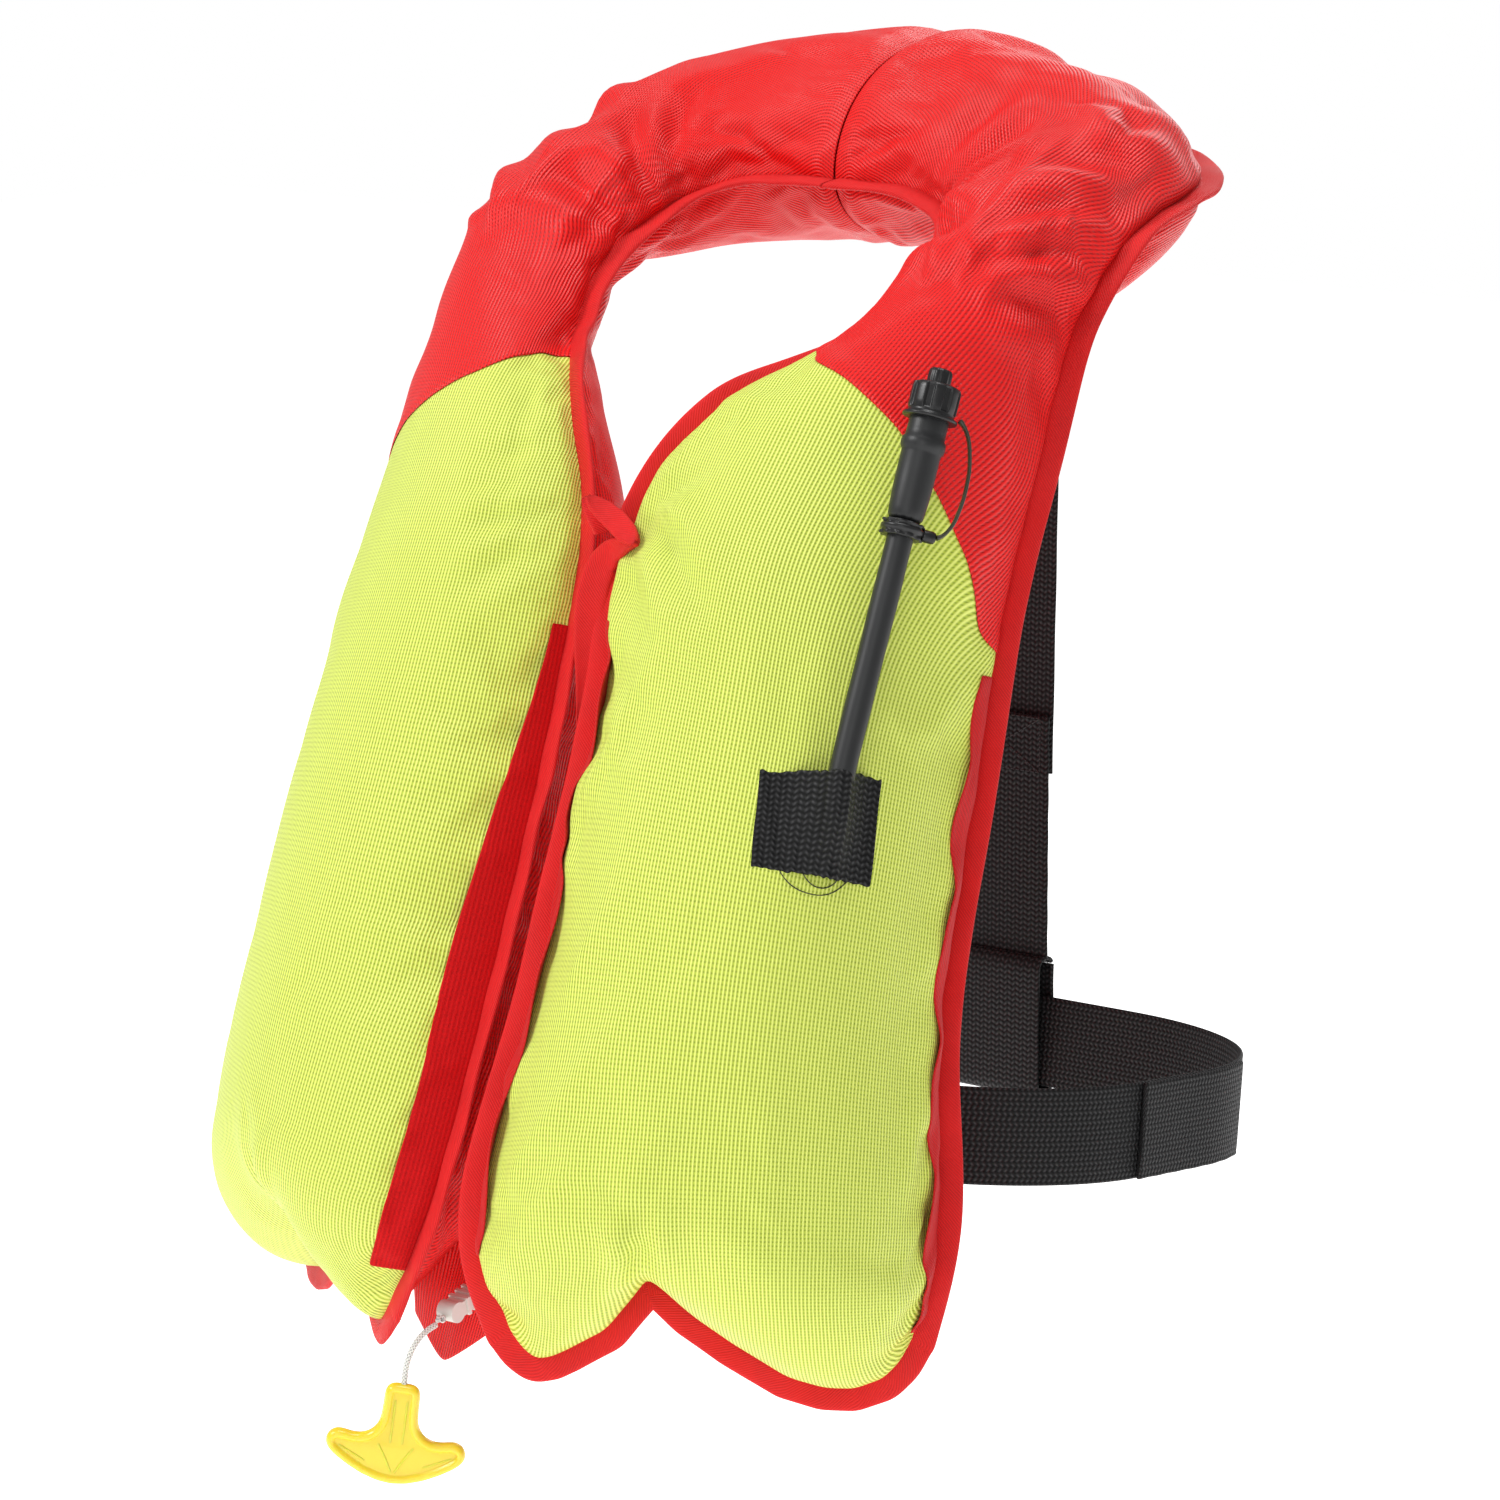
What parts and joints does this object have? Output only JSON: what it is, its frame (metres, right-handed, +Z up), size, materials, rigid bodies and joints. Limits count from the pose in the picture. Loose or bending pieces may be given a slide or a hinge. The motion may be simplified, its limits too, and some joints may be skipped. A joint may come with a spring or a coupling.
{
  "type": "inflatable life jacket",
  "caption": "Horseshoe-shaped inflated life jacket with ribbed front lobes, padded collar, oral inflation tube, back strap, waist belt with buckle, and a lever inflator with a pull handle.",
  "frame": {"origin": "middle of the neck opening, where the wearer's neck goes through", "axes": "+Z up, +X towards the wearer's left, -Y forward"},
  "size_m": [0.3423, 0.4309, 0.5473],
  "materials": {
    "film": "thin translucent film, satin",
    "lime_fabric": "ribbed woven polyester, matt with a soft sheen",
    "red_fabric": "fine twill polyester, soft sheen",
    "red_binding": "diagonal twill tape, stitched",
    "red_tape": "hook and loop tape",
    "webbing_black": "woven polyester webbing",
    "elastic_black": "woven elastic",
    "rubber_black": "moulded rubber, satin",
    "plastic_black": "moulded nylon, fine texture",
    "plastic_grey": "moulded acetal, pale",
    "plastic_green": "moulded, glossy",
    "plastic_yellow": "moulded, slightly translucent, glossy",
    "cord_white": "braided polyester cord",
    "steel": "zinc-plated steel",
    "stem_rubber": "moulded rubber"
  },
  "bodies": {
    "root": {"left_air_bladder": "film", "right_air_bladder": "film", "left_front_panel": "lime_fabric", "right_front_panel": "lime_fabric", "left_front_yoke": "red_fabric", "right_front_yoke": "red_fabric", "left_back_panel": "red_fabric", "right_back_panel": "red_fabric", "cover_tail": "red_fabric", "lobe_tie": "red_fabric", "left_inner_binding": "red_binding", "right_inner_binding": "red_binding", "left_outer_binding": "red_binding", "right_outer_binding": "red_binding", "left_end_binding": "red_binding", "right_end_binding": "red_binding", "strap_anchor": "red_binding", "left_inner_tape": "red_tape", "right_inner_tape": "red_tape", "left_outer_tape": "red_tape", "right_outer_tape": "red_tape", "tube_keeper": "webbing_black", "back_strap": "webbing_black", "lower_strap": "webbing_black", "belt_loop": "webbing_black", "waist_belt": "webbing_black", "belt_doubling": "webbing_black", "belt_end": "webbing_black", "belt_keeper": "elastic_black", "tube_root": "rubber_black", "buckle_socket": "plastic_black", "stem_nut": "plastic_black", "inflator_body": "plastic_grey", "indicator_clip": "plastic_green", "gas_cylinder": "steel", "lever_pin": "steel", "firing_spring": "steel", "bladder_stem": "stem_rubber"},
    "tube": {"oral_tube": "rubber_black", "valve_housing": "plastic_black", "tether_ring": "rubber_black", "cap_tether": "rubber_black", "valve_spring": "steel"},
    "cap": {"dust_cap": "plastic_black"},
    "poppet": {"valve_poppet": "plastic_black"},
    "lever": {"lever": "plastic_grey"},
    "pin": {"firing_pin": "steel"},
    "pull": {"pull_cord": "cord_white", "cord_knot": "cord_white", "pull_handle": "plastic_yellow"},
    "plug": {"buckle_plug": "plastic_black", "plug_webbing": "webbing_black"},
    "prong_up": {"upper_prong": "plastic_black"},
    "prong_low": {"lower_prong": "plastic_black"}
  },
  "joints": [
    {"name": "tube_swing", "type": "hinge", "parent": "root", "child": "tube", "pos_m": [0.1396, -0.108, -0.151], "axis": [0.712, 0.6871, -0.1448], "range_deg": [0, 35]},
    {"name": "cap_lift", "type": "slide", "parent": "tube", "child": "cap", "axis": [0.0062, 0.3935, 0.9193], "range_m": [0, 0.025]},
    {"name": "valve_press", "type": "slide", "parent": "tube", "child": "poppet", "axis": [-0.0062, -0.3935, -0.9193], "range_m": [0, 0.003], "stiffness_N_per_m": 400},
    {"name": "lever_pull", "type": "hinge", "parent": "root", "child": "lever", "pos_m": [-0.009, -0.113, -0.364], "axis": [1, 0, 0], "range_deg": [0, 80]},
    {"name": "pin_strike", "type": "slide", "parent": "root", "child": "pin", "axis": [0, 0.45, 0.893], "range_m": [0, 0.006]},
    {"name": "cord_hang", "type": "hinge", "parent": "lever", "child": "pull", "pos_m": [-0.009, -0.1717, -0.3787], "axis": [1, 0, 0], "range_deg": [-80, 0]},
    {"name": "buckle_release", "type": "slide", "parent": "root", "child": "plug", "axis": [-1, 0, 0], "range_m": [0, 0.028]},
    {"name": "prong_squeeze", "type": "hinge", "parent": "plug", "child": "prong_up", "pos_m": [-0.0038, -0.0361, -0.2956], "axis": [0, 0.9935, -0.1143], "range_deg": [0, 6], "stiffness_Nm_per_rad": 0.2},
    {"name": "prong_follow", "type": "hinge", "parent": "plug", "child": "prong_low", "pos_m": [-0.0038, -0.0399, -0.3284], "axis": [0, -0.9935, 0.1143], "range_deg": [0, 6], "stiffness_Nm_per_rad": 0.2}
  ],
  "couplings": [
    {"joint": "pin_strike", "follows": "lever_pull", "m_per_rad": 0.0035},
    {"joint": "cord_hang", "follows": "lever_pull", "ratio": -1},
    {"joint": "prong_follow", "follows": "prong_squeeze", "ratio": 1}
  ]
}
